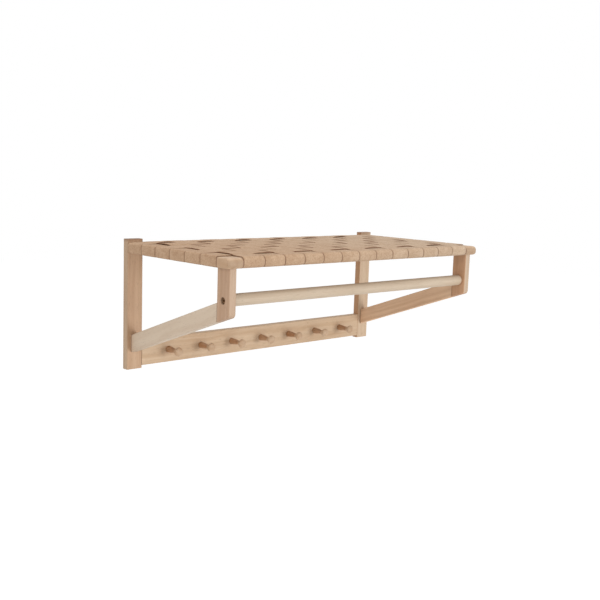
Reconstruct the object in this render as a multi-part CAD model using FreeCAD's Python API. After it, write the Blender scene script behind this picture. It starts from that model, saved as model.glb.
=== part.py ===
import FreeCAD, Part
import math
import os

# A wall-hung coat rack: a shelf of woven leather straps on a beech frame, with a hanging rod between
# its front legs and a row of turned pegs below.
# X runs along the wall, Y into the wall and Z up, in millimetres. The origin lies on the wall, midway
# between the round mouths of the two keyholes that the rack hangs by.

Vector = FreeCAD.Vector

# Overall: over the posts, from the wall to the shelf's front, and over the posts' ends
width = 800.0
depth = 386.0
height = 301.0

# Wall posts
post_width = 40.0
post_thickness = 18.0
edge_cut = 1.2
edge_angle_limit = 0.01

# Peg rail between the posts' lower ends
peg_rail_height = 61.0
peg_rail_lift = 6.0

# Turned pegs, seated on the face of the peg rail
peg_count = 7
peg_pitch = 95.5
peg_length = 47.0
peg_root_diameter = 16.0
peg_neck_diameter = 9.5
peg_neck_distance = 27.0
peg_throat_diameter = 14.0
peg_throat_distance = 35.0
peg_head_diameter = 22.0
peg_head_thickness = 6.0
peg_face_diameter = 16.0
peg_face_rise = 2.0

# Shelf frame: two side rails that end in bare blocks, a front rail and a back rail
shelf_drop = 10.0
block_thickness = 22.0
block_length = 38.5
nose_upper_round = 10.0
nose_lower_round = 9.0
side_edge_round = 4.0
side_rail_round = 2.2
back_rail_height = 24.0
back_rail_thickness = 13.0
back_edge_round = 4.0

# Leather straps: warps run from front to back, wefts from side to side
warp_count = 13
weft_count = 6
strap_thickness = 2.2
strap_tuck = 30.0
strap_tail = 18.0
strap_seam = 0.8
strap_clearance = 0.2
weave_clearance = 0.3
weave_gap_share = 1.75
wall_gap = 1.0

# Front legs and sloping braces
leg_thickness = 18.0
leg_depth = 40.0
leg_setback = 8.5
leg_toe_round = 10.0
brace_height = 38.5
brace_foot = 40.0
brace_rise = 116.0

# Hanging rod, with a bolt through each leg into its end
rod_diameter = 26.0
rod_height = 203.0
bolt_diameter = 6.0
bolt_length = 40.0
bolt_head_diameter = 11.0
bolt_head_height = 5.0
bolt_key_width = 5.0
bolt_key_depth = 3.0
bolt_recess_diameter = 15.0
bolt_recess_depth = 8.0
bolt_clearance = 0.15

# Mortise and tenon joints
tenon_length = 12.0
tenon_thickness = 8.0
tenon_shoulder = 8.0
tenon_wall = 4.0
mortise_clearance = 0.2

# Keyhole plates let into the backs of the posts
keyhole_height = 220.0
keyhole_diameter = 10.0
keyhole_slot_width = 5.0
keyhole_slot_rise = 11.0
keyhole_pocket_width = 13.0
keyhole_pocket_depth = 9.0
plate_width = 18.0
plate_height = 56.0
plate_thickness = 2.0
plate_clearance = 0.2

# Heights, with the keyholes' mouths at zero
foot = -keyhole_height
shelf_top = foot + height - shelf_drop
block_under = shelf_top - block_thickness
strap_room = strap_thickness + strap_clearance
rail_under = block_under + strap_room
peg_rail_under = foot + peg_rail_lift
peg_rail_top = peg_rail_under + peg_rail_height
peg_level = (peg_rail_under + peg_rail_top) / 2
rail_level = (rail_under + shelf_top) / 2
back_rail_under = shelf_top - back_rail_height
rod_level = foot + rod_height

# The rails' own edges, under and over: round the front rail the straps come level with the blocks
front_rail_rounds = (nose_lower_round - strap_room, nose_upper_round - strap_room)
side_rail_rounds = (side_rail_round, side_rail_round)

# Places along the wall, measured from the middle
side = width / 2
post_inside = side - post_width
post_centre = side - post_width / 2
leg_inside = post_centre - leg_thickness / 2
leg_outside = post_centre + leg_thickness / 2

# Places out from the wall, which are negative
post_front = -post_thickness
back_rail_back = -wall_gap - strap_room
back_rail_front = back_rail_back - back_rail_thickness
shelf_front = -depth
block_back = shelf_front + block_length
leg_front = shelf_front + leg_setback
leg_back = leg_front + leg_depth
rod_distance = (leg_front + leg_back) / 2

# The braces' slope, the height of their cut ends, and their lower edges at the posts and at the legs
brace_slope = brace_rise / (post_front - leg_back)
brace_angle = math.atan(brace_slope)
brace_end_height = brace_height / math.cos(brace_angle)
brace_under = foot + brace_foot
brace_under_leg = brace_under + brace_rise

# The woven field between the rails, and half the rise of a strap's wave in it
field_front = block_back + strap_clearance
field_back = post_front - strap_clearance
field_side = post_inside - strap_clearance
warp_pitch = field_side * 2 / warp_count
weft_pitch = (field_back - field_front) / weft_count
weave_gap = strap_thickness * weave_gap_share
weave_rise = (strap_thickness + weave_clearance) / 2

# The middle of a strap's thickness: its distance from the wood, and its levels over and under the rails
strap_middle = strap_clearance + strap_thickness / 2
strap_level = shelf_top + strap_middle
strap_under_level = rail_under - strap_middle


def box(x_range, y_range, z_range):
    """A box between two places on each axis."""
    low = Vector(min(x_range), min(y_range), min(z_range))
    size = Vector(max(x_range), max(y_range), max(z_range)) - low
    return Part.makeBox(size.x, size.y, size.z, low)


def grown(span, clearance):
    """A range made longer by a clearance at both its ends."""
    return (min(span) - clearance, max(span) + clearance)


def centred(middle, size):
    """A range of a given size about its middle."""
    return (middle - size / 2, middle + size / 2)


def drilled(base, direction, diameter, length):
    """A cylinder from a base point, for a round bar or a hole."""
    return Part.makeCylinder(diameter / 2, length, base, direction)


def mirrored(shape):
    """The same piece for the rack's left side."""
    return shape.mirror(Vector(), Vector(1, 0, 0))


def flat_face(corners):
    """A flat face with straight edges between its corners."""
    return Part.Face(Part.makePolygon(corners + corners[:1]))


def rounded_face(corners, radii):
    """A flat face with the given corners, each turned by an arc of its own radius or left sharp at 0."""
    bends = []
    for k, corner in enumerate(corners):
        into = (corner - corners[k - 1]).normalize()
        out = (corners[(k + 1) % len(corners)] - corner).normalize()
        half_turn = into.getAngle(out) / 2
        reach = radii[k] * math.tan(half_turn)
        bulge = radii[k] / math.cos(half_turn) - radii[k]
        middle = corner + (out - into).normalize() * bulge
        bends.append((corner - into * reach, middle, corner + out * reach))
    edges = []
    for k, (start, middle, end) in enumerate(bends):
        next_start = bends[(k + 1) % len(bends)][0]
        if radii[k]:
            edges.append(Part.Arc(start, middle, end).toShape())
        edges.append(Part.LineSegment(end, next_start).toShape())
    return Part.Face(Part.Wire(edges))


def bar_along_x(x_range, y_range, z_range, radii):
    """A bar along X. Its section's radii go round from front under to back under, back over, front over."""
    (x, end), (front, back), (low, high) = x_range, y_range, z_range
    corners = [Vector(x, front, low), Vector(x, back, low), Vector(x, back, high), Vector(x, front, high)]
    return rounded_face(corners, radii).extrude(Vector(end - x, 0, 0))


def bar_along_y(x_range, y_range, z_range, radii):
    """A bar along Y. Its section's radii go round from left under to right under, right over, left over."""
    (left, right), (y, end), (low, high) = x_range, y_range, z_range
    corners = [Vector(left, y, low), Vector(right, y, low), Vector(right, y, high), Vector(left, y, high)]
    return rounded_face(corners, radii).extrude(Vector(0, end - y, 0))


def eased(timber, direction):
    """A bar with the edges that run along its length cut off at a slant, so that none is sharp."""
    long_edges = []
    for edge in timber.Edges:
        if edge.tangentAt(edge.FirstParameter).isParallel(direction, edge_angle_limit):
            long_edges.append(edge)
    return timber.makeChamfer(edge_cut, long_edges)


def peg_rail_tenon(clearance):
    """The tenon of the peg rail in the right post, or its mortise when given a clearance."""
    reach = (post_inside, post_inside + tenon_length)
    cheeks = centred(post_front / 2, tenon_thickness)
    rise = (peg_rail_under + tenon_shoulder, peg_rail_top - tenon_shoulder)
    return box(grown(reach, clearance), grown(cheeks, clearance), grown(rise, clearance))


def back_rail_tenon(clearance):
    """The tenon of the back rail in the right post, or its mortise when given a clearance."""
    reach = (post_inside, post_inside + tenon_length)
    cheeks = centred((back_rail_front + back_rail_back) / 2, tenon_thickness)
    rise = (back_rail_under + tenon_shoulder, shelf_top - tenon_shoulder)
    return box(grown(reach, clearance), grown(cheeks, clearance), grown(rise, clearance))


def front_rail_tenon(clearance):
    """The tenon of the front rail in the right block, or its mortise when given a clearance."""
    reach = (post_inside, post_inside + tenon_length)
    along = (shelf_front + strap_room + tenon_shoulder, block_back - tenon_shoulder)
    cheeks = centred(rail_level, tenon_thickness)
    return box(grown(reach, clearance), grown(along, clearance), grown(cheeks, clearance))


def side_rail_tenon(clearance):
    """The tenon of the right side rail in its post, outside the back rail's, or its mortise."""
    across = (post_inside + tenon_length + tenon_wall, side - strap_room - tenon_shoulder)
    reach = (post_front, post_front + tenon_length)
    cheeks = centred(rail_level, tenon_thickness)
    return box(grown(across, clearance), grown(reach, clearance), grown(cheeks, clearance))


def leg_tenon(clearance):
    """The tenon on top of the right leg, or its mortise in the block when given a clearance."""
    cheeks = centred(post_centre, tenon_thickness)
    along = (leg_front + tenon_wall, block_back - tenon_wall)
    rise = (block_under, block_under + tenon_length)
    return box(grown(cheeks, clearance), grown(along, clearance), grown(rise, clearance))


def brace_tenon(clearance):
    """The level tenon of the right brace in its leg, or its mortise when given a clearance."""
    cheeks = centred(post_centre, tenon_thickness)
    reach = (leg_back - tenon_length, leg_back)
    rise = (brace_under_leg + tenon_shoulder, brace_under_leg + brace_end_height - tenon_shoulder)
    return box(grown(cheeks, clearance), grown(reach, clearance), grown(rise, clearance))


def brace_foot_tenon(clearance):
    """The level tenon of the right brace in its post, or its mortise when given a clearance."""
    cheeks = centred(post_centre, tenon_thickness)
    reach = (post_front, post_front + tenon_length)
    rise = (brace_under + tenon_shoulder, brace_under + brace_end_height - tenon_shoulder)
    return box(grown(cheeks, clearance), grown(reach, clearance), grown(rise, clearance))


def plate_blank(clearance):
    """The right keyhole plate before it is pierced, or its recess when given a clearance."""
    across = centred(post_centre, plate_width)
    rise = centred(keyhole_slot_rise / 2, plate_height)
    return box(grown(across, clearance), (-plate_thickness, 0), grown(rise, clearance))


def keyhole_plate():
    """The right keyhole plate: a round mouth below, and a narrow slot that a screw's neck rises into."""
    outward = Vector(0, -1, 0)
    slot_end = Vector(post_centre, 0, keyhole_slot_rise)
    mouth = drilled(Vector(post_centre, 0, 0), outward, keyhole_diameter, plate_thickness)
    slot = box(centred(post_centre, keyhole_slot_width), (-plate_thickness, 0), (0, keyhole_slot_rise))
    slot_top = drilled(slot_end, outward, keyhole_slot_width, plate_thickness)
    return plate_blank(0).cut([mouth, slot, slot_top])


def post():
    """The right wall post, with its mortises and the recess and screw-head pocket behind its plate."""
    timber = eased(box((post_inside, side), (post_front, 0), (foot, foot + height)), Vector(0, 0, 1))
    pocket_rise = (-keyhole_pocket_width / 2, keyhole_slot_rise + keyhole_pocket_width / 2)
    pocket = box(centred(post_centre, keyhole_pocket_width), (-keyhole_pocket_depth, 0), pocket_rise)
    tenons = [peg_rail_tenon, back_rail_tenon, side_rail_tenon, brace_foot_tenon]
    mortises = [tenon(mortise_clearance) for tenon in tenons]
    return timber.cut(mortises + [plate_blank(plate_clearance), pocket])


def peg_places():
    """Where the pegs stand on the front of their rail, from left to right."""
    first = -peg_pitch * (peg_count - 1) / 2
    return [Vector(first + peg_pitch * k, post_front, peg_level) for k in range(peg_count)]


def peg_rail():
    """The rail between the posts' feet, its face level with theirs, tenoned into both posts."""
    across = (-post_inside, post_inside)
    timber = eased(box(across, (post_front, 0), (peg_rail_under, peg_rail_top)), Vector(1, 0, 0))
    tenon = peg_rail_tenon(0)
    return timber.fuse([tenon, mirrored(tenon)]).removeSplitter()


def peg(place):
    """A turned peg: a thick root, a slim neck, and a throat that opens to a round head."""
    outward = Vector(0, -1, 0)
    head_back = peg_length - peg_head_thickness
    rings = [
        (0, peg_root_diameter),
        (peg_neck_distance, peg_neck_diameter),
        (peg_throat_distance, peg_throat_diameter),
        (head_back, peg_head_diameter),
        (peg_length - peg_face_rise, peg_head_diameter),
        (peg_length, peg_face_diameter),
    ]
    circles = []
    for distance, diameter in rings:
        circle = Part.makeCircle(diameter / 2, place + outward * distance, outward)
        circles.append(Part.Wire(circle))
    return Part.makeLoft(circles, True, True)


def back_rail():
    """The rail between the posts' tops. The warps go over it and down its back, clear of the wall."""
    across = (-post_inside, post_inside)
    along = (back_rail_front, back_rail_back)
    timber = bar_along_x(across, along, (back_rail_under, shelf_top), [0, 0, back_edge_round, 0])
    tenon = back_rail_tenon(0)
    return timber.fuse([tenon, mirrored(tenon)]).removeSplitter()


def front_rail():
    """The rail between the two blocks, set in all round so that the warps come level with the blocks."""
    across = (-post_inside, post_inside)
    along = (shelf_front + strap_room, block_back)
    rounds = [front_rail_rounds[0], 0, 0, front_rail_rounds[1]]
    timber = bar_along_x(across, along, (rail_under, shelf_top), rounds)
    tenon = front_rail_tenon(0)
    return timber.fuse([tenon, mirrored(tenon)]).removeSplitter()


def side_rail():
    """The right side rail: a bare block at its front end, and a slimmer run that the wefts wrap."""
    across = (post_inside, side)
    along = (shelf_front, block_back)
    rise = (block_under, shelf_top)
    block = bar_along_y(across, along, rise, [0, side_edge_round, side_edge_round, 0])
    nose = bar_along_x(across, along, rise, [nose_lower_round, 0, 0, nose_upper_round])
    run_across = (post_inside, side - strap_room)
    run_rounds = [0, side_rail_rounds[0], side_rail_rounds[1], 0]
    run = bar_along_y(run_across, (block_back, post_front), (rail_under, shelf_top), run_rounds)
    timber = block.common(nose).fuse([run, side_rail_tenon(0)]).removeSplitter()
    return timber.cut([front_rail_tenon(mortise_clearance), leg_tenon(mortise_clearance)])


def leg():
    """The right leg under the shelf's corner, cut below along the brace's slope, its toe rounded."""
    toe_level = brace_under_leg + leg_depth * brace_slope
    corners = [
        Vector(leg_inside, leg_back, brace_under_leg),
        Vector(leg_inside, leg_back, block_under),
        Vector(leg_inside, leg_front, block_under),
        Vector(leg_inside, leg_front, toe_level),
    ]
    profile = rounded_face(corners, [0, 0, 0, leg_toe_round])
    timber = eased(profile.extrude(Vector(leg_thickness, 0, 0)), Vector(0, 0, 1))
    outward = Vector(1, 0, 0)
    rod_centre = Vector(leg_inside, rod_distance, rod_level)
    recess_floor = Vector(leg_outside - bolt_recess_depth, rod_distance, rod_level)
    cuts = [brace_tenon(mortise_clearance)]
    cuts.append(drilled(rod_centre, outward, bolt_diameter + bolt_clearance * 2, leg_thickness))
    cuts.append(drilled(recess_floor, outward, bolt_recess_diameter, bolt_recess_depth))
    return timber.fuse(leg_tenon(0)).removeSplitter().cut(cuts)


def brace():
    """The right brace, sloping up from the post to its leg, with a level tenon at each end."""
    corners = [
        Vector(leg_inside, post_front, brace_under),
        Vector(leg_inside, leg_back, brace_under_leg),
        Vector(leg_inside, leg_back, brace_under_leg + brace_end_height),
        Vector(leg_inside, post_front, brace_under + brace_end_height),
    ]
    uphill = Vector(0, -1, brace_slope)
    timber = eased(flat_face(corners).extrude(Vector(leg_thickness, 0, 0)), uphill)
    return timber.fuse([brace_tenon(0), brace_foot_tenon(0)]).removeSplitter()


def rod():
    """The hanging rod between the legs, its ends bored for the bolts."""
    end = Vector(leg_inside, rod_distance, rod_level)
    inward = Vector(-1, 0, 0)
    bar = drilled(end, inward, rod_diameter, leg_inside * 2)
    bolt_reach = bolt_length - leg_thickness + bolt_recess_depth
    hole = drilled(end, inward, bolt_diameter + bolt_clearance * 2, bolt_reach + bolt_clearance)
    return bar.cut([hole, mirrored(hole)])


def rod_bolt():
    """The bolt through the right leg, its head in the recess, with a six-sided socket for a key."""
    outward = Vector(1, 0, 0)
    floor = Vector(leg_outside - bolt_recess_depth, rod_distance, rod_level)
    shank = drilled(floor, -outward, bolt_diameter, bolt_length)
    head = drilled(floor, outward, bolt_head_diameter, bolt_head_height)
    socket_floor = floor + outward * (bolt_head_height - bolt_key_depth)
    socket_corner = bolt_key_width / math.sqrt(3)
    corners = []
    for k in range(6):
        angle = math.pi / 3 * k
        corners.append(socket_floor + Vector(0, math.cos(angle), math.sin(angle)) * socket_corner)
    socket = flat_face(corners).extrude(outward * bolt_key_depth)
    return head.fuse(shank).cut(socket)


def bend(before, corner, after, radius):
    """Two half bends that take a strap round an edge of the given radius, just clear of its arc."""
    cut = radius * (2 - math.sqrt(2))
    corner = Vector(*corner)
    into = (Vector(*before) - corner).normalize()
    out = (Vector(*after) - corner).normalize()
    return [corner + into * cut, corner + out * cut]


def wave(gaps, signs):
    """A strap's corners in the weave: level at the field's two edges, over or under at each crossing."""
    half_gap = weave_gap / 2
    line = [Vector(gaps[0], 0, strap_level)]
    for start, end, sign in zip(gaps, gaps[1:], signs):
        level = strap_level + weave_rise * sign
        line += [Vector(start + half_gap, 0, level), Vector(end - half_gap, 0, level)]
    line.append(Vector(gaps[-1], 0, strap_level))
    return line


def strap(line, pitch, field):
    """A strap along X whose middle follows a line of corners. Across the woven field it is narrower."""
    half = strap_thickness / 2
    normals = []
    for start, end in zip(line, line[1:]):
        run = (end - start).normalize()
        normals.append(Vector(-run.z, 0, run.x))
    outside = []
    inside = []
    for corner, before, after in zip(line, normals[:1] + normals, normals + normals[-1:]):
        step = (before + after) * (half / (1 + before.dot(after)))
        outside.append(corner + step)
        inside.append(corner - step)
    full_width = pitch - strap_seam
    solid = flat_face(outside + inside[::-1]).extrude(Vector(0, full_width, 0))
    solid.translate(Vector(0, -full_width / 2, 0))
    trim = box(field, ((pitch - weave_gap) / 2, pitch), centred(strap_level, block_thickness))
    return solid.cut([trim, trim.mirror(Vector(), Vector(0, 1, 0))])


def wrapped_end(edge, rail_rounds):
    """The start of a strap: under a rail from its tucked end, then up the rail's outer side and over."""
    lower_round, upper_round = rail_rounds
    middle = edge + strap_thickness / 2
    tucked = Vector(edge + strap_tuck, 0, strap_under_level)
    under = Vector(middle, 0, strap_under_level)
    over = Vector(middle, 0, strap_level)
    inward = Vector(edge + strap_tuck, 0, strap_level)
    line = [tucked]
    line += bend(tucked, under, over, lower_round + strap_middle)
    line += bend(under, over, inward, upper_round + strap_middle)
    return line


def warp(number):
    """A strap from under the front rail, over it, through the weave, and over and down the back rail."""
    gaps = [field_front + weft_pitch * k for k in range(weft_count)]
    gaps.append(back_rail_front - strap_clearance)
    signs = [-1 if (number + k) % 2 else 1 for k in range(weft_count)]
    back = back_rail_back + strap_middle
    field_end = Vector(gaps[-1], 0, strap_level)
    corner = Vector(back, 0, strap_level)
    tail = Vector(back, 0, shelf_top - strap_tail)
    line = wrapped_end(shelf_front, front_rail_rounds) + wave(gaps, signs)
    line += bend(field_end, corner, tail, back_edge_round + strap_middle) + [tail]
    solid = strap(line, warp_pitch, (gaps[0], gaps[-1]))
    solid.rotate(Vector(), Vector(0, 0, 1), 90)
    solid.translate(Vector(warp_pitch * (number + 1 / 2) - field_side, 0, 0))
    return solid


def weft(number):
    """A strap from under the left side rail, round it, through the weave, and round the right side rail."""
    gaps = [warp_pitch * k - field_side for k in range(warp_count + 1)]
    signs = [1 if (number + k) % 2 else -1 for k in range(warp_count)]
    left_end = wrapped_end(-side, side_rail_rounds)
    right_end = [Vector(-corner.x, 0, corner.z) for corner in reversed(left_end)]
    solid = strap(left_end + wave(gaps, signs) + right_end, weft_pitch, (gaps[0], gaps[-1]))
    solid.translate(Vector(0, field_front + weft_pitch * (number + 1 / 2), 0))
    return solid


def both_sides(shape):
    """A small piece and its mirror image, as one group."""
    return Part.Compound([shape, mirrored(shape)])


pieces = {
    "peg_rail": peg_rail(),
    "pegs": Part.Compound([peg(place) for place in peg_places()]),
    "back_rail": back_rail(),
    "front_rail": front_rail(),
    "hanging_rod": rod(),
    "rod_bolts": both_sides(rod_bolt()),
    "keyhole_plates": both_sides(keyhole_plate()),
}
for name, shape in {"post": post(), "side_rail": side_rail(), "leg": leg(), "brace": brace()}.items():
    pieces["right_" + name] = shape
    pieces["left_" + name] = mirrored(shape)
for k in range(warp_count):
    pieces[f"warp_strap_{k + 1:02d}"] = warp(k)
for k in range(weft_count):
    pieces[f"weft_strap_{k + 1}"] = weft(k)

os.makedirs("parts", exist_ok=True)
for name, shape in pieces.items():
    shape.exportStep(f"parts/{name}.step")
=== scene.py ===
import math

import bpy
from mathutils import Matrix, Vector


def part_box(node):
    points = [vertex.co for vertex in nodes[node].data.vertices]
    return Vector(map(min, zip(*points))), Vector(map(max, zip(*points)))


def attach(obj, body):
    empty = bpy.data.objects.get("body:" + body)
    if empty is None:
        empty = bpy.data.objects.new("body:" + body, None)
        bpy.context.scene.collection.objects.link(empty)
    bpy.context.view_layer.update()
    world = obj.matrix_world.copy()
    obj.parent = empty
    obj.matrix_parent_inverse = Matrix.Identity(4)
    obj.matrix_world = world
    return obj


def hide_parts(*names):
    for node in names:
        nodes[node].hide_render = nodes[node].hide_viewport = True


# A wall-hung coat rack: a shelf woven from leather straps on a beech frame, with a hanging rod
# between its front legs and a rail of turned pegs below. The frame's solids come from the packed
# model. Each section dresses one group of pieces, in the order in which they are put together.
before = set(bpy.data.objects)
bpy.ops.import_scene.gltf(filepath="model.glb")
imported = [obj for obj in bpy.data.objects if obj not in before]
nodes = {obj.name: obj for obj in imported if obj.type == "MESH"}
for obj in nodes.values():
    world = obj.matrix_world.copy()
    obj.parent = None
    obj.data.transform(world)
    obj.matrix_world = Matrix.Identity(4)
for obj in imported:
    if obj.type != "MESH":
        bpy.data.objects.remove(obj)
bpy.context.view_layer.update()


# The two wall posts: planed beech bars that stand against the wall and carry everything else.
# The wood is bare but for a thin matt oil, its edges are eased with a plane, and the rails and
# braces are tenoned and glued into mortises in the posts.
class Wire:
    """One output in a node tree. Arithmetic on it adds the Math node that does the sum."""

    def __init__(self, tree, socket=None):
        self.tree = tree
        self.socket = socket

    def node(self, kind, settings, sockets, output=0):
        """A new node of a kind: its settings first, then the values or wires of its sockets."""
        made = self.tree.nodes.new(kind)
        for name, value in settings.items():
            if name == "line":
                for place, height in value[1:-1]:
                    made.mapping.curves[0].points.new(place, height)
                for point, spot in zip(made.mapping.curves[0].points, value):
                    point.location = spot
                made.mapping.update()
            else:
                setattr(made, name, value)
        for key, value in sockets.items():
            if isinstance(value, Wire):
                self.tree.links.new(value.socket, made.inputs[key])
            else:
                made.inputs[key].default_value = value
        return Wire(self.tree, made.outputs[output])

    def other(self, output):
        """Another output of the node that this wire comes from."""
        return Wire(self.tree, self.socket.node.outputs[output])

    def math(self, operation, *values):
        """A Math node on numbers or wires."""
        return self.node("ShaderNodeMath", {"operation": operation}, dict(enumerate(values)))

    def vector(self, operation, *values, output=0):
        """A Vector Math node on vectors or wires."""
        settings = {"operation": operation}
        return self.node("ShaderNodeVectorMath", settings, dict(enumerate(values)), output)

    def scaled(self, amount):
        """This vector times one number."""
        return self.node("ShaderNodeVectorMath", {"operation": "SCALE"}, {0: self, "Scale": amount})

    def stretched(self, shares):
        """This vector with each of its parts times its own number."""
        return self.vector("MULTIPLY", self, shares)

    def parts(self):
        """The X, Y and Z of this vector."""
        x = self.node("ShaderNodeSeparateXYZ", {}, {0: self})
        return x, x.other(1), x.other(2)

    def eased(self, start, end):
        """0 up to the start, 1 from the end on, and a smooth rise between them."""
        sockets = {"Value": self, "From Min": start, "From Max": end}
        return self.node("ShaderNodeMapRange", {"interpolation_type": "SMOOTHSTEP"}, sockets)

    def ramped(self, start, end):
        """0 up to the start, 1 from the end on, and a straight rise between them."""
        return self.node("ShaderNodeMapRange", {}, {"Value": self, "From Min": start, "From Max": end})

    def mixed(self, first, second):
        """From the first colour to the second as this wire goes from 0 to 1."""
        settings = {"data_type": "RGBA", "clamp_factor": True}
        return self.node("ShaderNodeMix", settings, {0: self, 6: first, 7: second}, 2)

    def __abs__(self):
        return self.math("ABSOLUTE", self)

    def __add__(self, amount):
        return self.math("ADD", self, amount)

    def __radd__(self, amount):
        return self.math("ADD", amount, self)

    def __sub__(self, amount):
        return self.math("SUBTRACT", self, amount)

    def __rsub__(self, amount):
        return self.math("SUBTRACT", amount, self)

    def __mul__(self, amount):
        return self.math("MULTIPLY", self, amount)

    def __rmul__(self, amount):
        return self.math("MULTIPLY", amount, self)

    def __truediv__(self, amount):
        return self.math("DIVIDE", self, amount)

    def __pow__(self, amount):
        return self.math("POWER", self, amount)


def finish_named(name):
    """A new material, a first wire in its tree, and its surface shader."""
    material = bpy.data.materials.new(name)
    material.use_nodes = True
    shader = material.node_tree.nodes["Principled BSDF"]
    return material, Wire(material.node_tree), shader


def feed(shader, sockets):
    """Link wires to a shader's sockets, or set plain values on them."""
    for name, value in sockets.items():
        if isinstance(value, Wire):
            value.tree.links.new(value.socket, shader.inputs[name])
        else:
            shader.inputs[name].default_value = value


def noise(at, per_metre, detail, roughness_share=0.5):
    """Smooth random values between 0 and 1, so many to the metre."""
    sockets = {"Vector": at, "Scale": per_metre, "Detail": detail, "Roughness": roughness_share}
    return at.node("ShaderNodeTexNoise", {}, sockets)


def toned(colour, share):
    """A colour made darker, or paler where the share is over 1."""
    return [min(1, part * share) for part in colour[:3]] + [1]


mm = 0.001

# How the grain is turned to run along an axis, and how far each kind of mark is drawn out along it.
along_x = (0, 0, 0)
along_y = (0, 0, -math.pi / 2)
along_z = (0, math.pi / 2, 0)
layer_shares = (0.035, 1, 1)
fibre_shares = (0.02, 1, 1)
ray_shares = (0.11, 1, 1)
patch_shares = (0.3, 1, 1)
grain_bow = 20.0 * mm
noise_middle = 0.5
ray_range = (0.62, 0.74)


def beech_figure(laid):
    """The marks in planed beech, each from 0 to 1: growth layers, fibres, ray flecks and patches."""
    drift = noise(laid, per_metre=6, detail=2) - noise_middle
    bend = drift.node("ShaderNodeCombineXYZ", {}, {1: drift * grain_bow, 2: drift * grain_bow})
    bowed = laid.vector("ADD", laid, bend)
    layers = noise(bowed.stretched(layer_shares), per_metre=95, detail=3, roughness_share=0.55)
    fibres = noise(laid.stretched(fibre_shares), per_metre=900, detail=2, roughness_share=0.6)
    rays = noise(laid.stretched(ray_shares), per_metre=760, detail=1)
    patches = noise(laid.stretched(patch_shares), per_metre=14, detail=2)
    return layers, fibres, rays.eased(*ray_range), patches


# How much each mark tells in the wood's colour, in its painted shade and in its paler edges, which are
# partly wear and partly painted highlight, in its relief and in its gloss.
layer_range = (0.32, 0.70)
patch_range = (0.3, 0.75)
facing_range = (0.6, 0.95)
edge_range = (0.02, 0.3)
layer_tone_share = 0.62
patch_tone_share = 0.3
fibre_tone_share = 0.28
pale_share = 0.12
ray_tone_share = 0.38
ray_dark_share = 0.66
end_dark_share = 0.6
shade_brown = (0.34, 0.150, 0.058, 1)
shade_base_share = 0.42
shade_grain_share = 0.5
edge_ease = 1.0 * mm
wear_and_highlight_pale_share = 1.14
wear_and_highlight_share = 0.25
wear_and_highlight_patch_share = 0.4
# The brown of the straps' dyed rims, which also serves the wood's painted shade.
dye_and_shade_brown = (0.150, 0.060, 0.026, 1)
painted_shade_share = 0.6
painted_shade_patch_share = 0.3
grain_depth = 0.25 * mm
fibre_relief_share = 0.6
layer_relief_share = 0.4
ray_relief_share = 0.35
beech_roughness = 0.5
fibre_roughness_share = 0.16
edge_gloss_share = 0.08


def beech(name, turn, pale, deep, place, end_share=0.4, soaked=None, faced=None, dyed=None):
    """Oiled beech, its grain turned to run along the piece, cut from its own place in the tree.

    The three choices paint light and shade. One says how far out along the grain a painted shade starts
    and where it is full. One gives paler colours painted on the faces that turn to the front and back,
    as painted light over the other faces' darker colour, which stands for shade. One is a function for
    how much painted shade darkens a point.
    """
    material, start, shader = finish_named(name)
    here = start.node("ShaderNodeTexCoord", {}, {}, "Object")
    turned = here.node("ShaderNodeMapping", {}, {"Vector": here, "Rotation": turn})
    layers, fibres, fleck, patches = beech_figure(turned.vector("ADD", turned, place))
    shade = layers.eased(*layer_range) * layer_tone_share
    shade = shade + patches.eased(*patch_range) * patch_tone_share
    shade = shade + fibres * fibre_tone_share - pale_share
    colour = shade.mixed(pale, deep)
    facing = here.node("ShaderNodeMapping", {}, {"Vector": here.other("Normal"), "Rotation": turn})
    end, facing_across = facing.parts()[:2]
    # Painted light and shade: faces that turn to the front and back get paler colours, as if lit more,
    # and the other faces keep the darker, redder grain colours, as if in shade.
    if faced:
        lit_face_share = abs(facing_across).eased(*facing_range)
        colour = lit_face_share.mixed(colour, shade.mixed(*faced))
    colour = (fleck * ray_tone_share).mixed(colour, toned(deep, ray_dark_share))
    # Painted shade: a darkening along the grain from one end, for the shade under a peg's head and at
    # the rod's ends against the legs.
    if soaked:
        shaded_along = abs(turned.parts()[0]).eased(*soaked)
        colour = (shaded_along * (shade_base_share + shade * shade_grain_share)).mixed(colour, shade_brown)
    end_grain = abs(end).eased(*facing_range)
    colour = (end_grain * end_share).mixed(colour, toned(deep, end_dark_share))
    rounded = here.node("ShaderNodeBevel", {"samples": 4}, {"Radius": edge_ease})
    level = here.node("ShaderNodeNewGeometry", {}, {}, "Normal")
    edge = (1 - rounded.vector("DOT_PRODUCT", rounded, level, output="Value")).eased(*edge_range)
    # Paler eased edges: partly wear and partly a painted highlight along every edge.
    wear_and_highlight = edge * (wear_and_highlight_share + patches * wear_and_highlight_patch_share)
    colour = wear_and_highlight.mixed(colour, toned(pale, wear_and_highlight_pale_share))
    # Painted shade: where a piece's hook says shade falls, the wood is darkened with the straps' rim
    # brown.
    if dyed:
        colour = (dyed(here) * (painted_shade_share + patches * painted_shade_patch_share)).mixed(colour, dye_and_shade_brown)
    height = fibres * fibre_relief_share + layers * layer_relief_share - fleck * ray_relief_share
    relief = {"Strength": 0.22, "Distance": grain_depth, "Height": height, "Normal": rounded}
    bump = height.node("ShaderNodeBump", {}, relief)
    roughness = beech_roughness + fibres * fibre_roughness_share - edge * edge_gloss_share
    feed(shader, {"Base Color": colour, "Roughness": roughness, "Normal": bump})
    return material


def dress(node_name, material):
    """Give one of the frame's own solids its finish."""
    nodes[node_name].material_slots[0].material = material


def dress_in_beech(node_name, turn, pale, deep, place, **choices):
    """Give one of the frame's own timbers a beech finish of its own."""
    dress(node_name, beech(node_name + "_beech", turn, pale, deep, place, **choices))


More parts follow.
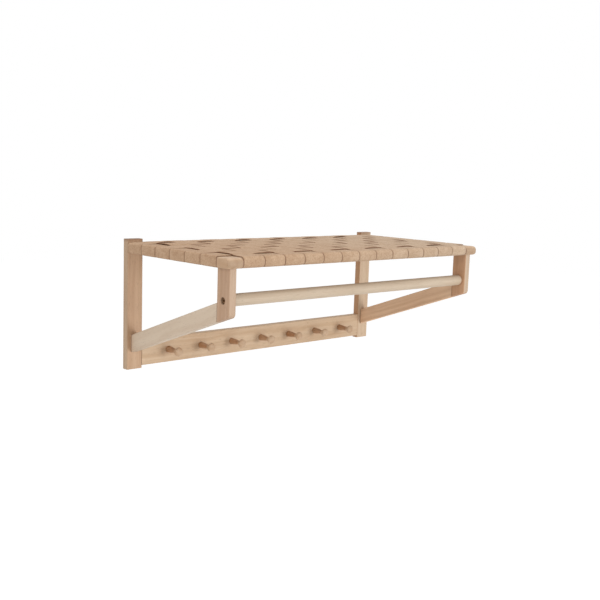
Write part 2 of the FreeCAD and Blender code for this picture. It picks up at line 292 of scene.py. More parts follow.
post_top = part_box("left_post")[1].z
post_shade_depth = 9.0 * mm
post_shade_share = 0.65


def shaded_post_top(here):
    """How much painted shade darkens a post's upper end, down over the band that stands above the shelf.
    """
    z = here.parts()[2]
    return z.eased(post_top - post_shade_depth, post_top) * post_shade_share


post_end_share = 0.75
# Each post's upper end is darkened by painted shade.
post_choices = {"end_share": post_end_share, "dyed": shaded_post_top}
# The left post's grain colours, with paler ones for its front and back faces: painted light there, and
# painted shade on its darker sides.
left_post_pale = (0.457, 0.326, 0.214, 1)
left_post_deep = (0.332, 0.205, 0.118, 1)
left_post_lit_faces = ((0.510, 0.341, 0.217, 1), (0.412, 0.249, 0.145, 1))
left_post_place = (0.3, 0.0, 0.0)
left_post_cut = (along_z, left_post_pale, left_post_deep, left_post_place)
dress_in_beech("left_post", *left_post_cut, faced=left_post_lit_faces, **post_choices)
# The right post's grain colours, with paler ones for its front and back faces: painted light there, and
# painted shade on its darker, redder sides.
right_post_pale = (0.495, 0.279, 0.145, 1)
right_post_deep = (0.418, 0.217, 0.105, 1)
right_post_lit_faces = ((0.592, 0.447, 0.312, 1), (0.498, 0.349, 0.225, 1))
right_post_place = (1.7, 0.4, 0.2)
right_post_cut = (along_z, right_post_pale, right_post_deep, right_post_place)
dress_in_beech("right_post", *right_post_cut, faced=right_post_lit_faces, **post_choices)


# The keyhole plates: stamped zinc-plated steel, let in flush with the backs of the posts, each held
# by two small countersunk screws. The rack hangs by them on two screws in the wall.
rolled_shares = (1, 1, 0.04)
rolled_depth = 0.05 * mm
dull_range = (0.3, 0.7)
dull_tone_share = 0.7
rolled_tone_share = 0.3
plated_roughness = 0.3
dull_roughness_share = 0.22


def plated(name, dark, light):
    """Plated steel, with the fine lines that rolling leaves and dulled patches."""
    material, start, shader = finish_named(name)
    here = start.node("ShaderNodeTexCoord", {}, {}, "Object")
    lines = noise(here.stretched(rolled_shares), per_metre=2600, detail=2)
    dull = noise(here, per_metre=160, detail=3)
    colour = (dull.eased(*dull_range) * dull_tone_share + lines * rolled_tone_share).mixed(dark, light)
    relief = {"Strength": 0.12, "Distance": rolled_depth, "Height": lines}
    bump = lines.node("ShaderNodeBump", {}, relief)
    roughness = plated_roughness + dull * dull_roughness_share
    feed(shader, {"Base Color": colour, "Metallic": 1.0, "Roughness": roughness, "Normal": bump})
    return material


def new_tree(name, sizes):
    """A geometry tree with a named input for each size, those inputs as wires, and its first wire."""
    tree = bpy.data.node_groups.new(name, "GeometryNodeTree")
    kinds = {int: "NodeSocketInt", float: "NodeSocketFloat", tuple: "NodeSocketVector"}
    tree.interface.new_socket("Geometry", in_out="INPUT", socket_type="NodeSocketGeometry")
    for size_name, kind in sizes.items():
        tree.interface.new_socket(size_name, in_out="INPUT", socket_type=kinds[kind])
    tree.interface.new_socket("Geometry", in_out="OUTPUT", socket_type="NodeSocketGeometry")
    group_input = tree.nodes.new("NodeGroupInput")
    inputs = {socket.name: Wire(tree, socket) for socket in group_input.outputs if socket.name}
    return tree, inputs, Wire(tree)


def end_tree(made, material):
    """Close a geometry tree: every copy made real, shaded smooth and given its finish."""
    real = made.node("GeometryNodeRealizeInstances", {}, {0: made})
    smooth = made.node("GeometryNodeSetShadeSmooth", {}, {0: real})
    painted = made.node("GeometryNodeSetMaterial", {}, {0: smooth, "Material": material})
    made.tree.links.new(painted.socket, made.tree.nodes.new("NodeGroupOutput").inputs[0])


def grown(name, tree, start_mesh, sizes):
    """A piece with the plain mesh that a tree makes from its starting points and sizes."""
    piece = bpy.data.objects.new(name, start_mesh)
    bpy.context.scene.collection.objects.link(piece)
    modifier = piece.modifiers.new("made", "NODES")
    modifier.node_group = tree
    for socket in tree.interface.items_tree:
        if socket.name in sizes and socket.in_out == "INPUT":
            modifier[socket.identifier] = sizes[socket.name]
    seen = piece.evaluated_get(bpy.context.evaluated_depsgraph_get())
    mesh = bpy.data.meshes.new_from_object(seen)
    piece.modifiers.clear()
    piece.data = mesh
    mesh.name = name
    return piece


def fixed(piece, slot, *stands_for):
    """Fix a piece to the rack and hide the plain solids that it stands for."""
    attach(piece, "root")
    if stands_for:
        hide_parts(*stands_for)


def points_mesh(name, places, outs):
    """Bare points, each with the direction that what stands on it faces."""
    mesh = bpy.data.meshes.new(name)
    mesh.from_pydata(places, [], [])
    facing = mesh.attributes.new("facing", "FLOAT_VECTOR", "POINT")
    for item, out in zip(facing.data, outs):
        item.vector = out
    return mesh


unit = 1.0


def turned_form(start, sides, rings, length, radius, far_shares, thick_shares):
    """A round form along Z, its rings set out by two lines: how far along, and how thick there."""
    blank_sizes = {"Vertices": sides, "Side Segments": rings, "Radius": unit, "Depth": unit}
    blank = start.node("GeometryNodeMeshCylinder", {}, blank_sizes)
    x, y, z = start.node("GeometryNodeInputPosition", {}, {}).parts()
    ring = z + unit / 2
    far = ring.node("ShaderNodeFloatCurve", {"line": far_shares}, {"Value": ring}) * length
    wide = ring.node("ShaderNodeFloatCurve", {"line": thick_shares}, {"Value": ring}) * radius
    moved = far.node("ShaderNodeCombineXYZ", {}, {0: x * wide, 1: y * wide, 2: far})
    return blank.node("GeometryNodeSetPosition", {}, {0: blank, "Position": moved})


def set_on_points(points, form):
    """A copy of a form on every point, facing the way that the point gives."""
    read = {"data_type": "FLOAT_VECTOR"}
    facing = points.node("GeometryNodeInputNamedAttribute", read, {"Name": "facing"})
    turn = facing.node("FunctionNodeAlignRotationToVector", {"axis": "Z"}, {"Vector": facing})
    sockets = {"Points": points, "Instance": form, "Rotation": turn}
    return points.node("GeometryNodeInstanceOnPoints", {}, sockets)


plate_dark = (0.36, 0.36, 0.35, 1)
plate_light = (0.62, 0.62, 0.60, 1)
dress("keyhole_plates", plated("plate_zinc", plate_dark, plate_light))
screw_dark = (0.30, 0.29, 0.27, 1)
screw_light = (0.58, 0.57, 0.53, 1)
screw_diameter = 7.0 * mm
screw_rise = 0.5 * mm
screw_sunk_share = 0.7
screw_inset = 5.5 * mm
screw_sides = 18
screw_rings = 9
screw_far_shares = [(0, 0), (0.4, 0.6), (0.75, 1), (0.9, 0.35), (1, 0.1)]
screw_thick_shares = [(0, 1), (0.4, 0.97), (0.6, 0.72), (0.75, 0.42), (0.9, 0.3), (1, 0.02)]
half_plate = 9.0 * mm
plates_low, plates_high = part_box("keyhole_plates")
plate_middle = plates_high.x - half_plate
screw_places = []
for x in (-plate_middle, plate_middle):
    for z in (plates_low.z + screw_inset, plates_high.z - screw_inset):
        screw_places.append((x, -screw_rise * screw_sunk_share, z))
screw_tree, given, start = new_tree("plate_screw", {"Head diameter": float, "Rise": float})
screw_radius = given["Head diameter"] / 2
screw_lines = (screw_far_shares, screw_thick_shares)
head = turned_form(start, screw_sides, screw_rings, given["Rise"], screw_radius, *screw_lines)
end_tree(set_on_points(given["Geometry"], head), plated("screw_zinc", screw_dark, screw_light))
to_wall = (0, 1, 0)
screws = points_mesh("plate_screws", screw_places, [to_wall] * len(screw_places))
screws = grown("plate_screws", screw_tree, screws, {"Head diameter": screw_diameter, "Rise": screw_rise})
fixed(screws, "steel")


# The peg rail and its seven pegs: a wide beech rail between the posts' feet, its face level with
# theirs, and pegs turned on a lathe, each glued into a hole in the rail.
peg_rail_pale = (0.6, 0.446, 0.302, 1)
peg_rail_deep = (0.46, 0.299, 0.175, 1)
peg_rail_place = (2.1, 0.7, 0.1)
dress_in_beech("peg_rail", along_x, peg_rail_pale, peg_rail_deep, peg_rail_place)
peg_pale = (0.550, 0.397, 0.268, 1)
peg_deep = (0.430, 0.262, 0.146, 1)
peg_place = (0.9, 1.3, 0.8)
peg_end_share = 0.1
peg_shade_start = 15.0 * mm
peg_shade_full = 20.0 * mm
peg_count = 7
peg_sides = 40
peg_rings = 34
peg_far_shares = [(0, 0), (0.35, 0.5), (0.55, 0.72), (0.72, 0.86), (0.84, 0.93), (0.93, 0.985), (1, 1)]
peg_thick_shares = [
    (0, 0.72), (0.2, 0.63), (0.42, 0.47), (0.55, 0.56), (0.66, 0.86), (0.74, 0.99), (0.82, 0.98),
    (0.92, 0.72), (1, 0.02),
]
pegs_low, pegs_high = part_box("pegs")
peg_head = pegs_high.z - pegs_low.z
peg_length = pegs_high.y - pegs_low.y
peg_pitch = (pegs_high.x - pegs_low.x - peg_head) / (peg_count - 1)
peg_level = (pegs_low.z + pegs_high.z) / 2
peg_tree, given, start = new_tree("turned_peg", {"Length": float, "Head diameter": float})
peg_radius = given["Head diameter"] / 2
peg_lines = (peg_far_shares, peg_thick_shares)
peg = turned_form(start, peg_sides, peg_rings, given["Length"], peg_radius, *peg_lines)
peg_face = -pegs_low.y
# The pegs' roots and necks, up to the heads, are darkened by painted shade, as the heads shade them.
peg_neck_shade = (peg_face - peg_shade_start, peg_face - peg_shade_full)
peg_choices = {"end_share": peg_end_share, "soaked": peg_neck_shade}
peg_beech = beech("peg_beech", along_y, peg_pale, peg_deep, peg_place, **peg_choices)
end_tree(set_on_points(given["Geometry"], peg), peg_beech)
first_peg = pegs_low.x + peg_head / 2
peg_places = [(first_peg + peg_pitch * k, pegs_high.y, peg_level) for k in range(peg_count)]
to_room = (0, -1, 0)
pegs = points_mesh("turned_pegs", peg_places, [to_room] * peg_count)
pegs = grown("turned_pegs", peg_tree, pegs, {"Length": peg_length, "Head diameter": peg_head})
fixed(pegs, "beech", "pegs")


# The shelf's frame: a back rail between the posts, two side rails that end in bare rounded blocks at
# the front, and a front rail tenoned between the blocks. The straps cover all but the blocks, and
# painted shadow darkens each block along the seams where the straps meet it.
rail_pale = (0.534, 0.376, 0.247, 1)
rail_deep = (0.402, 0.249, 0.143, 1)
back_rail_place = (0.2, 2.3, 0.6)
front_rail_place = (1.1, 0.9, 1.6)
dress_in_beech("back_rail", along_x, rail_pale, rail_deep, back_rail_place)
dress_in_beech("front_rail", along_x, rail_pale, rail_deep, front_rail_place)
block_inside = -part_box("left_side_rail")[1].x
block_back = -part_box("front_rail")[1].y
seam_shade_width = 1.3 * mm
seam_shade_fade = 1.0 * mm


def block_seam_shade(here):
    """Painted shadow: 1 along the two block edges that the straps' dark rims lie against, 0 elsewhere.
    """
    x, y = here.parts()[:2]
    out = abs(y)
    aside = abs(x).eased(block_inside + seam_shade_width + seam_shade_fade, block_inside + seam_shade_width)
    behind = out.eased(block_back + seam_shade_width + seam_shade_fade, block_back + seam_shade_width)
    return x.math("MAXIMUM", aside, behind) * out.eased(block_back - seam_shade_fade, block_back)


left_rail_place = (0.5, 1.9, 1.2)
right_rail_place = (2.6, 0.2, 0.7)
# The side rails' blocks take a painted shadow along their seams with the straps.
dress_in_beech("left_side_rail", along_y, rail_pale, rail_deep, left_rail_place, dyed=block_seam_shade)
dress_in_beech("right_side_rail", along_y, rail_pale, rail_deep, right_rail_place, dyed=block_seam_shade)


# The woven straps: thirteen warps from the front rail to the back rail and six wefts from side to
# side, cut from vegetable-tanned leather with their edges dyed and rubbed smooth. Each is wrapped
# round its rails, and they go over and under each other in turn, arching a little at every crossing.
hide_base_pale = (0.542, 0.382, 0.258, 1)
hide_base_deep = (0.376, 0.233, 0.142, 1)
right_lit_pale = (0.589, 0.460, 0.339, 1)
right_lit_deep = (0.408, 0.281, 0.187, 1)
crease_brown = (0.33, 0.20, 0.115, 1)
flesh_tan = (0.55, 0.42, 0.30, 1)
right_light_start = -350.0 * mm
right_light_end = 450.0 * mm
streak_shares = (0.06, 1, 1)
speckle_shares = (0.6, 1, 1)
rubbed_shares = (1, 0.2, 1)
cloud_range = (0.25, 0.75)
speckle_range = (0.3, 0.7)
crease_range = (0.0, 0.16)
rubbed_range = (0.3, 0.6)
under_range = (0.2, 0.9)
cloud_tone_share = 0.3
streak_tone_share = 0.25
pore_tone_share = 0.2
strap_tone_share = 0.4
speckle_tone_share = 0.62
mottle_tone_share = 0.2
hide_pale_share = 0.47
crease_tone_share = 0.16
cells_per_metre = 620.0
rim_power = 30
rim_share = 0.62
rim_rubbed_share = 0.35
rim_bare_share = 0.76
rim_woven_share = 0.24
flesh_share = 0.35
hide_depth = 0.2 * mm
pore_relief_share = 0.5
crease_relief_share = 0.5
cloud_relief_share = 0.3
hide_roughness = 0.7
pore_roughness_share = 0.14
flesh_roughness_share = 0.1


def hide_shade(place, tone, clouds, pores):
    """How deep the tan is: clouds, long streaks, pores and speckle over the strap's own tone."""
    streaks = noise(place.stretched(streak_shares), per_metre=320, detail=2)
    speckle = noise(place.stretched(speckle_shares), per_metre=480, detail=2, roughness_share=0.7)
    mottle = noise(place, per_metre=85, detail=2, roughness_share=0.6)
    shade = clouds.eased(*cloud_range) * cloud_tone_share + streaks * streak_tone_share
    shade = shade + pores * pore_tone_share + tone * strap_tone_share
    shade = shade + speckle.eased(*speckle_range) * speckle_tone_share
    return shade + mottle.eased(*speckle_range) * mottle_tone_share - hide_pale_share


def strap_hide():
    """Tan leather with pores and creases, dyed rims, a paler flesh side, and painted light that pales it
    to the right.
    """
    material, start, shader = finish_named("strap_hide")
    place = start.node("ShaderNodeAttribute", {"attribute_name": "strap_place"}, {}, "Vector")
    facts = start.node("ShaderNodeAttribute", {"attribute_name": "strap_facts"}, {}, "Vector")
    woven = start.node("ShaderNodeAttribute", {"attribute_name": "strap_woven"}, {}, "Fac")
    across, side, tone = facts.parts()
    clouds = noise(place, per_metre=22, detail=3)
    pores = noise(place, per_metre=1500, detail=2, roughness_share=0.6)
    cell_sockets = {"Vector": place, "Scale": cells_per_metre}
    cells = place.node("ShaderNodeTexVoronoi", {"feature": "DISTANCE_TO_EDGE"}, cell_sockets)
    crease = 1 - cells.eased(*crease_range)
    shade = hide_shade(place, tone, clouds, pores)
    # Painted light: the straps' colour goes paler towards the right, as if lit more strongly there.
    x = start.node("ShaderNodeTexCoord", {}, {}, "Object").parts()[0]
    hide_base_colour = shade.mixed(hide_base_pale, hide_base_deep)
    right_lit_colour = shade.mixed(right_lit_pale, right_lit_deep)
    colour = x.eased(right_light_start, right_light_end).mixed(hide_base_colour, right_lit_colour)
    colour = (crease * crease_tone_share).mixed(colour, crease_brown)
    rubbed = noise(place.stretched(rubbed_shares), per_metre=30, detail=1).eased(*rubbed_range)
    rim = abs(across) ** rim_power * (rubbed * rim_rubbed_share + rim_share)
    rim = rim * (rim_bare_share + woven * rim_woven_share)
    colour = rim.mixed(colour, dye_and_shade_brown)
    under = (0 - side).eased(*under_range)
    colour = (under * flesh_share).mixed(colour, flesh_tan)
    height = pores * pore_relief_share - crease * crease_relief_share + clouds * cloud_relief_share
    height = height + under * pores
    relief = {"Strength": 0.3, "Distance": hide_depth, "Height": height}
    bump = height.node("ShaderNodeBump", {}, relief)
    roughness = hide_roughness + pores * pore_roughness_share + under * flesh_roughness_share
    feed(shader, {"Base Color": colour, "Roughness": roughness, "Normal": bump})
    feed(shader, {"Specular IOR Level": 0.15})
    return material


strap_thickness = 2.2 * mm
strap_clearance = 0.2 * mm
strap_seam = 0.8 * mm
strap_tuck = 30.0 * mm
strap_tail = 18.0 * mm
weave_gap = 2.4 * mm
weave_rise = 1.25 * mm
inner_arch = 0.9 * mm
left_arch = 2.4 * mm
right_arch = 1.5 * mm
front_arch = 1.3 * mm
back_arch = 2.3 * mm
back_tilt_share = 0.9
arch_low_share = 0.4
arch_high_share = 1.7
arch_power = 0.6
slack_share = 0.15
ramp_share = 0.042
weave_end_shares = (-0.05, 0.03)
front_rail_share = 0.32
side_rail_share = 0.64
front_under_round = 6.6 * mm
front_over_round = 7.6 * mm
side_edge_round = 2.2 * mm
back_edge_round = 4.0 * mm
edge_wander = 0.5 * mm
edge_thin_share = 0.25
edge_thin_power = 40
edge_drop = 0.25 * mm
edge_drop_power = 6
seed_step = 0.37
half = 0.5
bend_steps = 10
steps_across = 15
steps_through = 3
step_along = 1.5 * mm
strap_sizes = {
    "Across": tuple, "Width": float, "Woven width": float, "Thickness": float, "Weave start": float,
    "Crossing pitch": float, "Crossings": int, "First side": float, "Rise": float, "Rail share": float,
    "Arch": float, "Tilt": float, "Steps along": int, "Seed": int,
}
strap_tree, given, start = new_tree("woven_strap", strap_sizes)

# A blank strip, and the strap's line with its corners bent, which the strip is laid along.
bend = start.node("GeometryNodeInputNamedAttribute", {"data_type": "FLOAT"}, {"Name": "bend"})
line = start.node("GeometryNodeMeshToCurve", {}, {0: given["Geometry"]})
path_sockets = {0: line, "Count": bend_steps, "Radius": bend}
path = line.node("GeometryNodeFilletCurve", {"mode": "POLY"}, path_sockets)
blank_sockets = {"Size": (unit, unit, unit), "Vertices X": given["Steps along"]}
blank_sockets |= {"Vertices Y": steps_across, "Vertices Z": steps_through}
blank = start.node("GeometryNodeMeshCube", {}, blank_sockets)
blank_x, blank_y, blank_z = start.node("GeometryNodeInputPosition", {}, {}).parts()
distance = (blank_x + unit / 2) * path.node("GeometryNodeCurveLength", {}, {0: path})
across = blank_y.math("SINE", blank_y * math.pi)
layer = blank_z * 2
edge = abs(across)

# Which crossing of the weave a place is in, how far along it lies there, and on which side.
crossing = (distance - given["Weave start"]) / given["Crossing pitch"]
to_go = given["Crossings"] - crossing
woven = crossing.eased(*weave_end_shares) * to_go.eased(*weave_end_shares)
in_weave = crossing.math("GREATER_THAN", crossing, 0) * to_go.math("GREATER_THAN", to_go, 0)
last = given["Crossings"] - 1
number = crossing.math("MINIMUM", crossing.math("FLOOR", crossing), last)
number = number.math("MAXIMUM", 0, number)
along = crossing - number
sign = given["First side"] * (1 - number.math("FLOORED_MODULO", number, 2) * 2)

# How far it is lifted: up or down by a step in each crossing, with an arch where it goes over.
turned_in = (along + number.math("LESS_THAN", number, half)).eased(0, ramp_share)
turned_out = (1 - along + number.math("GREATER_THAN", number, last - half)).eased(0, ramp_share)
first_over = given["First side"] / 2 + half
last_over = abs(first_over - last.math("FLOORED_MODULO", last, 2))
before = 0 - given["Rail share"]
from_rail = crossing.ramped(first_over * before, (1 - first_over) * ramp_share)
to_rail = to_go.ramped(last_over * before, (1 - last_over) * ramp_share)
stepped = given["Rise"] * turned_in * turned_out * from_rail * to_rail
arch_sockets = {2: arch_low_share, 3: arch_high_share, "ID": number, "Seed": given["Seed"]}
arch = given["Arch"] * number.node("FunctionNodeRandomValue", {}, arch_sockets, 1)
bulge = along.math("SINE", along * in_weave * math.pi) ** arch_power
tilted = 1 - (1 - across) * given["Tilt"] / 2
arched = sign.math("MAXIMUM", sign, -slack_share) * bulge * tilted
lift = sign * stepped + arch * arched

# How wide and thick it is: narrower in the weave, with edges that wander and are rubbed thin.
seed_place = given["Seed"] * seed_step
edge_side = across.math("SIGN", across)
wander_at = distance.node("ShaderNodeCombineXYZ", {}, {0: distance, 1: edge_side, 2: seed_place})
wander = (noise(wander_at, per_metre=24, detail=1) - noise_middle) * edge_wander
half_width = (given["Width"] + woven * (given["Woven width"] - given["Width"])) / 2 + wander
sideways = across * half_width
thickness = given["Thickness"] / 2 * (1 - edge_thin_share * edge ** edge_thin_power) * layer
thickness = thickness - edge_drop * edge ** edge_drop_power

# Each point of the strip goes to its spot, and keeps the facts that the leather's finish reads.
taken_sockets = {0: path, "Length": distance}
taken = path.node("GeometryNodeSampleCurve", {"mode": "LENGTH"}, taken_sockets, "Position")
outward = taken.vector("CROSS_PRODUCT", given["Across"], taken.other("Tangent"))
outward = outward.vector("NORMALIZE", outward)
rise = lift.node("ShaderNodeCombineXYZ", {}, {2: lift})
spot = taken.vector("ADD", taken, given["Across"].scaled(sideways))
spot = spot.vector("ADD", spot, outward.scaled(thickness))
spot = spot.vector("ADD", spot, rise)
tone_sockets = {2: 0.0, 3: 1.0, "ID": 0, "Seed": given["Seed"]}
tone = start.node("FunctionNodeRandomValue", {}, tone_sockets, 1)
facts = across.node("ShaderNodeCombineXYZ", {}, {0: across, 1: layer, 2: tone})
place = distance.node("ShaderNodeCombineXYZ", {}, {0: distance, 1: sideways, 2: seed_place})
strip = blank
for kind, name, value in (
    ("FLOAT_VECTOR", "strap_place", place),
    ("FLOAT_VECTOR", "strap_facts", facts),
    ("FLOAT", "strap_woven", woven),
):
    kept = {"data_type": kind, "domain": "POINT"}
    strip = strip.node("GeometryNodeStoreNamedAttribute", kept, {0: strip, "Name": name, "Value": value})
strip = strip.node("GeometryNodeSetPosition", {}, {0: strip, "Position": spot})
strip = strip.node("GeometryNodeFlipFaces", {}, {0: strip})
end_tree(strip, strap_hide())


def strap_line(name, corners, bends):
    """A strap's middle line as corners joined by edges, each corner with the radius of its bend."""
    mesh = bpy.data.meshes.new(name)
    mesh.from_pydata(corners, [(k, k + 1) for k in range(len(corners) - 1)], [])
    radius = mesh.attributes.new("bend", "FLOAT", "POINT")
    for item, size in zip(radius.data, bends):
        item.value = size
    return mesh


def run_length(corners, bends):
    """The length of a line of corners once its corners are rounded by quarter turns."""
    straight = sum((Vector(b) - Vector(a)).length for a, b in zip(corners, corners[1:]))
    return straight - sum(bends) * (2 - math.pi / 2)


def arch_of(number, count, first_arch, last_arch):
    """How far a strap arches where it goes over: the first and the last lie loosest."""
    return {0: first_arch, count - 1: last_arch}.get(number, inner_arch)


def side_of(number, first):
    """On which side of the weave a strap starts: its neighbours start on the other one."""
    return first if number % 2 == 0 else -first


def lay_strap(name, corners, bends, sizes):
    """One strap along its line of corners, fixed to the rack in place of its plain solid."""
    steps = round(run_length(corners, bends) / step_along)
    shared_sizes = {"Thickness": strap_thickness, "Rise": weave_rise, "Steps along": steps}
    strap = grown(name + "_hide", strap_tree, strap_line(name, corners, bends), sizes | shared_sizes)
    fixed(strap, "strap_leather", name)


warp_count = 13
weft_count = 6
first_warp_seed = 1
first_weft_seed = 21
over = 1.0
front_low, front_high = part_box("front_rail")
back_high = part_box("back_rail")[1]
strap_middle = strap_clearance + strap_thickness / 2
over_level = front_high.z + strap_middle
under_level = front_low.z - strap_middle
tail_level = back_high.z - strap_tail
warp_front = front_low.y - strap_middle
warp_back = back_high.y + strap_middle
weft_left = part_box("weft_strap_1")[0].x + strap_thickness / 2
tucked_x = weft_left - strap_thickness / 2 + strap_tuck
tucked_y = warp_front - strap_thickness / 2 + strap_tuck
post_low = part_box("right_post")[0]
field_side = post_low.x - strap_clearance
field_front = front_high.y + strap_clearance
field_back = post_low.y - strap_clearance
warp_pitch = field_side * 2 / warp_count
weft_pitch = (field_back - field_front) / weft_count
front_bends = [0, front_under_round + strap_middle, front_over_round + strap_middle]
side_bends = [0, side_edge_round + strap_middle, side_edge_round + strap_middle]
back_bend = back_edge_round + strap_middle
for k in range(warp_count):
    x = warp_pitch * (k + half) - field_side
    corners = [(x, tucked_y, under_level), (x, warp_front, under_level), (x, warp_front, over_level)]
    weave_start = run_length(corners + [(x, field_front, over_level)], front_bends)
    corners += [(x, warp_back, over_level), (x, warp_back, tail_level)]
    sizes = {
        "Across": (1, 0, 0), "Width": warp_pitch - strap_seam, "Woven width": warp_pitch - weave_gap,
        "Weave start": weave_start, "Crossing pitch": weft_pitch, "Crossings": weft_count,
        "First side": side_of(k, over), "Rail share": front_rail_share,
        "Arch": arch_of(k, warp_count, left_arch, right_arch), "Tilt": 0.0, "Seed": first_warp_seed + k,
    }
    lay_strap(f"warp_strap_{k + 1:02d}", corners, front_bends + [back_bend, 0], sizes)
for k in range(weft_count):
    y = field_front + weft_pitch * (k + half)
    corners = [(tucked_x, y, under_level), (weft_left, y, under_level), (weft_left, y, over_level)]
    weave_start = run_length(corners + [(-field_side, y, over_level)], side_bends)
    corners += [(-x, y, z) for x, y, z in reversed(corners)]
    sizes = {
        "Across": (0, -1, 0), "Width": weft_pitch - strap_seam, "Woven width": weft_pitch - weave_gap,
        "Weave start": weave_start, "Crossing pitch": warp_pitch, "Crossings": warp_count,
        "First side": side_of(k, -over), "Rail share": side_rail_share,
        "Arch": arch_of(k, weft_count, front_arch, back_arch),
        "Tilt": back_tilt_share if k == weft_count - 1 else 0.0, "Seed": first_weft_seed + k,
    }
    lay_strap(f"weft_strap_{k + 1}", corners, side_bends + side_bends[::-1], sizes)


# The tacks: domed steel heads with a dark bronze finish, two in each strap's end, driven into the
# rails from below and into the back rail from behind, where they don't show from the room.
tack_dark = (0.10, 0.065, 0.04, 1)
tack_light = (0.25, 0.17, 0.11, 1)
tack_diameter = 6.0 * mm
tack_rise = 0.9 * mm
tack_sunk = 0.25 * mm
tack_margin = 8.0 * mm
tack_spread = 15.0 * mm
tack_sides = 14
tack_rings = 6
tack_far_shares = [(0, 0), (0.3, 0.35), (0.6, 0.78), (1, 1)]
tack_thick_shares = [(0, 1), (0.3, 0.94), (0.6, 0.66), (0.85, 0.3), (1, 0.02)]
tack_tree, given, start = new_tree("strap_tack", {"Head diameter": float, "Rise": float})
tack_radius = given["Head diameter"] / 2
tack_lines = (tack_far_shares, tack_thick_shares)
head = turned_form(start, tack_sides, tack_rings, given["Rise"], tack_radius, *tack_lines)
end_tree(set_on_points(given["Geometry"], head), plated("tack_bronze", tack_dark, tack_light))
below = under_level - strap_thickness / 2 + tack_sunk
behind = warp_back + strap_thickness / 2 - tack_sunk
downwards = (0, 0, -1)
tack_places = []
tack_outs = []
for k in range(warp_count):
    for aside in (-tack_spread, tack_spread):
        x = warp_pitch * (k + half) - field_side + aside
        tack_places += [(x, tucked_y - tack_margin, below), (x, behind, tail_level + tack_margin)]
        tack_outs += [downwards, to_wall]
for k in range(weft_count):
    for aside in (-tack_spread, tack_spread):
        y = field_front + weft_pitch * (k + half) + aside
        tack_places += [(tucked_x - tack_margin, y, below), (tack_margin - tucked_x, y, below)]
        tack_outs += [downwards, downwards]
tacks = points_mesh("strap_tacks", tack_places, tack_outs)
tacks = grown("strap_tacks", tack_tree, tacks, {"Head diameter": tack_diameter, "Rise": tack_rise})
fixed(tacks, "steel")


# The front legs and sloping braces: beech bars tenoned under the blocks and between leg and post, which
# carry the shelf's front edge. Each leg's foot is cut along its brace's slope, with a rounded toe.
# The legs' grain colours, with paler ones for their front and back faces: painted light there, and
# painted shade on their darker, redder sides.
left_leg_pale = (0.464, 0.308, 0.204, 1)
left_leg_deep = (0.377, 0.227, 0.137, 1)
left_leg_lit_faces = ((0.482, 0.341, 0.238, 1), (0.427, 0.289, 0.192, 1))
left_leg_place = (3.1, 0.3, 1.4)
left_leg_cut = (along_z, left_leg_pale, left_leg_deep, left_leg_place)
dress_in_beech("left_leg", *left_leg_cut, faced=left_leg_lit_faces)
right_leg_pale = (0.580, 0.349, 0.207, 1)
right_leg_deep = (0.452, 0.243, 0.130, 1)
right_leg_lit_faces = ((0.528, 0.398, 0.287, 1), (0.458, 0.327, 0.223, 1))
right_leg_place = (0.8, 2.2, 0.4)
right_leg_cut = (along_z, right_leg_pale, right_leg_deep, right_leg_place)
dress_in_beech("right_leg", *right_leg_cut, faced=right_leg_lit_faces)
brace_rise = 116.0 * mm
brace_run = 319.5 * mm
along_brace = (math.atan2(brace_rise, brace_run), 0, -math.pi / 2)
post_front = -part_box("left_post")[0].y
joint_shade_width = 1.2 * mm
joint_shade_fade = 1.0 * mm
joint_shade_share = 0.8


def brace_joint_shade(here):
    """How much painted shade darkens a brace by its joint with the post."""
    out = abs(here.parts()[1])
    return out.eased(post_front + joint_shade_width + joint_shade_fade, post_front + joint_shade_width) * joint_shade_share


# Both braces are darkened by painted shade along their joints with the posts.
left_brace_pale = (0.574, 0.466, 0.358, 1)
left_brace_deep = (0.502, 0.387, 0.282, 1)
left_brace_place = (1.4, 1.1, 2.2)
left_brace_cut = (along_brace, left_brace_pale, left_brace_deep, left_brace_place)
dress_in_beech("left_brace", *left_brace_cut, dyed=brace_joint_shade)
# The right brace's colours are paler than the left brace's: painted light on the inner face that shows.
right_brace_pale = (0.789, 0.552, 0.368, 1)
right_brace_deep = (0.598, 0.373, 0.222, 1)
right_brace_place = (2.4, 0.6, 1.8)
right_brace_cut = (along_brace, right_brace_pale, right_brace_deep, right_brace_place)
dress_in_beech("right_brace", *right_brace_cut, dyed=brace_joint_shade)


# The hanging rod: a round beech bar between the legs, held by a socket-head bolt through each leg into
# the rod's end. Painted shade darkens each end where it meets a leg. The bolt's head sits at the bottom
# of a round recess.
rod_pale = (0.556, 0.452, 0.340, 1)
rod_deep = (0.463, 0.352, 0.247, 1)
rod_place = (0.4, 1.6, 2.8)
rod_end_shade_width = 4.5 * mm
rod_end_shade_full = 1.5 * mm
rod_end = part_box("hanging_rod")[1].x
# The rod's ends: painted shade where they meet the legs.
rod_end_shade = (rod_end - rod_end_shade_width, rod_end - rod_end_shade_full)
dress_in_beech("hanging_rod", along_x, rod_pale, rod_deep, rod_place, soaked=rod_end_shade)
bolt_dark = (0.12, 0.062, 0.030, 1)
bolt_light = (0.29, 0.165, 0.085, 1)
dress("rod_bolts", plated("bolt_bronze", bolt_dark, bolt_light))


# The studio: a pale floor as far below as a rack like this hangs above one, a white surround, and soft
# light from three large lamps, at the front right, at the left and overhead.
floor_level = -1550.0 * mm
floor_reach = 14000.0 * mm
floor_mesh = bpy.data.meshes.new("floor")
floor_corners = [(-floor_reach, -floor_reach, floor_level), (floor_reach, -floor_reach, floor_level)]
floor_corners += [(floor_reach, floor_reach, floor_level), (-floor_reach, floor_reach, floor_level)]
floor_mesh.from_pydata(floor_corners, [], [(0, 1, 2, 3)])
floor = bpy.data.objects.new("floor", floor_mesh)
bpy.context.scene.collection.objects.link(floor)


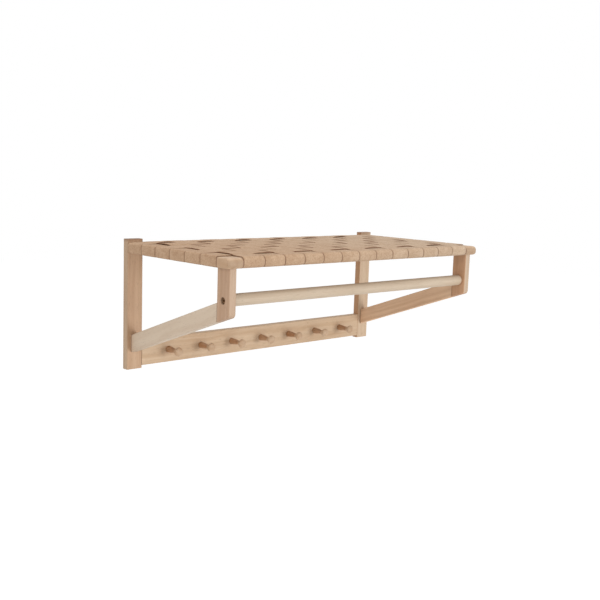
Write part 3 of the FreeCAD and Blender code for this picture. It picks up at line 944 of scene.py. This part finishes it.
def seen_directly(start):
    """1 for what is seen, straight, in a gloss or through glass, and 0 for light on its way."""
    camera_ray = start.node("ShaderNodeLightPath", {}, {}, "Is Camera Ray")
    seen = camera_ray.math("MAXIMUM", camera_ray, camera_ray.other("Is Glossy Ray"))
    return seen.math("MAXIMUM", seen, camera_ray.other("Is Transmission Ray"))


black = (0, 0, 0, 1)
white = (1, 1, 1, 1)
paint_dark = (0.85, 0.85, 0.85, 1)
paint_light = (0.87, 0.87, 0.87, 1)
floor_finish, start, shader = finish_named("floor_paint")
here = start.node("ShaderNodeTexCoord", {}, {}, "Object")
paint = noise(here, per_metre=1.2, detail=2).mixed(paint_dark, paint_light)
glow = seen_directly(start).mixed(black, white)
feed(shader, {"Base Color": paint, "Roughness": 0.9, "Emission Color": glow, "Emission Strength": 0.42})
floor_mesh.materials.append(floor_finish)

soft_grey = (0.66, 0.66, 0.66, 1)
world = bpy.data.worlds.new("studio")
bpy.context.scene.world = world
world.use_nodes = True
surround = seen_directly(Wire(world.node_tree)).mixed(soft_grey, white)
feed(world.node_tree.nodes["Background"], {"Color": surround, "Strength": 1.0})

rack_middle = Vector((0, -0.2, -0.05))


def lamp(name, place, size, power, colour):
    """A large soft lamp that faces the middle of the rack."""
    light = bpy.data.lights.new(name, "AREA")
    light.shape = "SQUARE"
    light.size = size
    light.energy = power
    light.color = colour
    holder = bpy.data.objects.new(name, light)
    bpy.context.scene.collection.objects.link(holder)
    holder.location = place
    holder.rotation_mode = "QUATERNION"
    holder.rotation_quaternion = (rack_middle - Vector(place)).to_track_quat("-Z", "Y")


front_lamp_place = (1.9, -6.2, 0.1)
front_lamp_size = 2.2
front_lamp_power = 160.0
front_lamp_white = (0.99, 0.99, 0.98)
lamp("front_lamp", front_lamp_place, front_lamp_size, front_lamp_power, front_lamp_white)
left_lamp_place = (-2.6, -1.0, 0.6)
left_lamp_size = 1.8
left_lamp_power = 22.0
left_lamp_white = (1.0, 0.95, 0.89)
lamp("left_lamp", left_lamp_place, left_lamp_size, left_lamp_power, left_lamp_white)
high_lamp_place = (0.2, -0.3, 2.5)
high_lamp_size = 1.8
high_lamp_power = 25.5
high_lamp_white = (1.0, 0.985, 0.96)
lamp("high_lamp", high_lamp_place, high_lamp_size, high_lamp_power, high_lamp_white)

camera_place = Vector((-1.47593, -1.76403, 0.24169))
camera_right = Vector((0.73801, -0.67397, 0.03327))
camera_up = Vector((0.07055, 0.12610, 0.98951))
camera_back = Vector((-0.67109, -0.72792, 0.14061))
camera_data = bpy.data.cameras.new("camera")
camera_data.lens = 53.674
camera_data.sensor_width = 36.0
camera = bpy.data.objects.new("camera", camera_data)
bpy.context.scene.collection.objects.link(camera)
turn = Matrix((camera_right, camera_up, camera_back)).transposed().to_4x4()
camera.matrix_world = Matrix.Translation(camera_place) @ turn
bpy.context.scene.camera = camera
bpy.context.scene.view_settings.view_transform = "Standard"
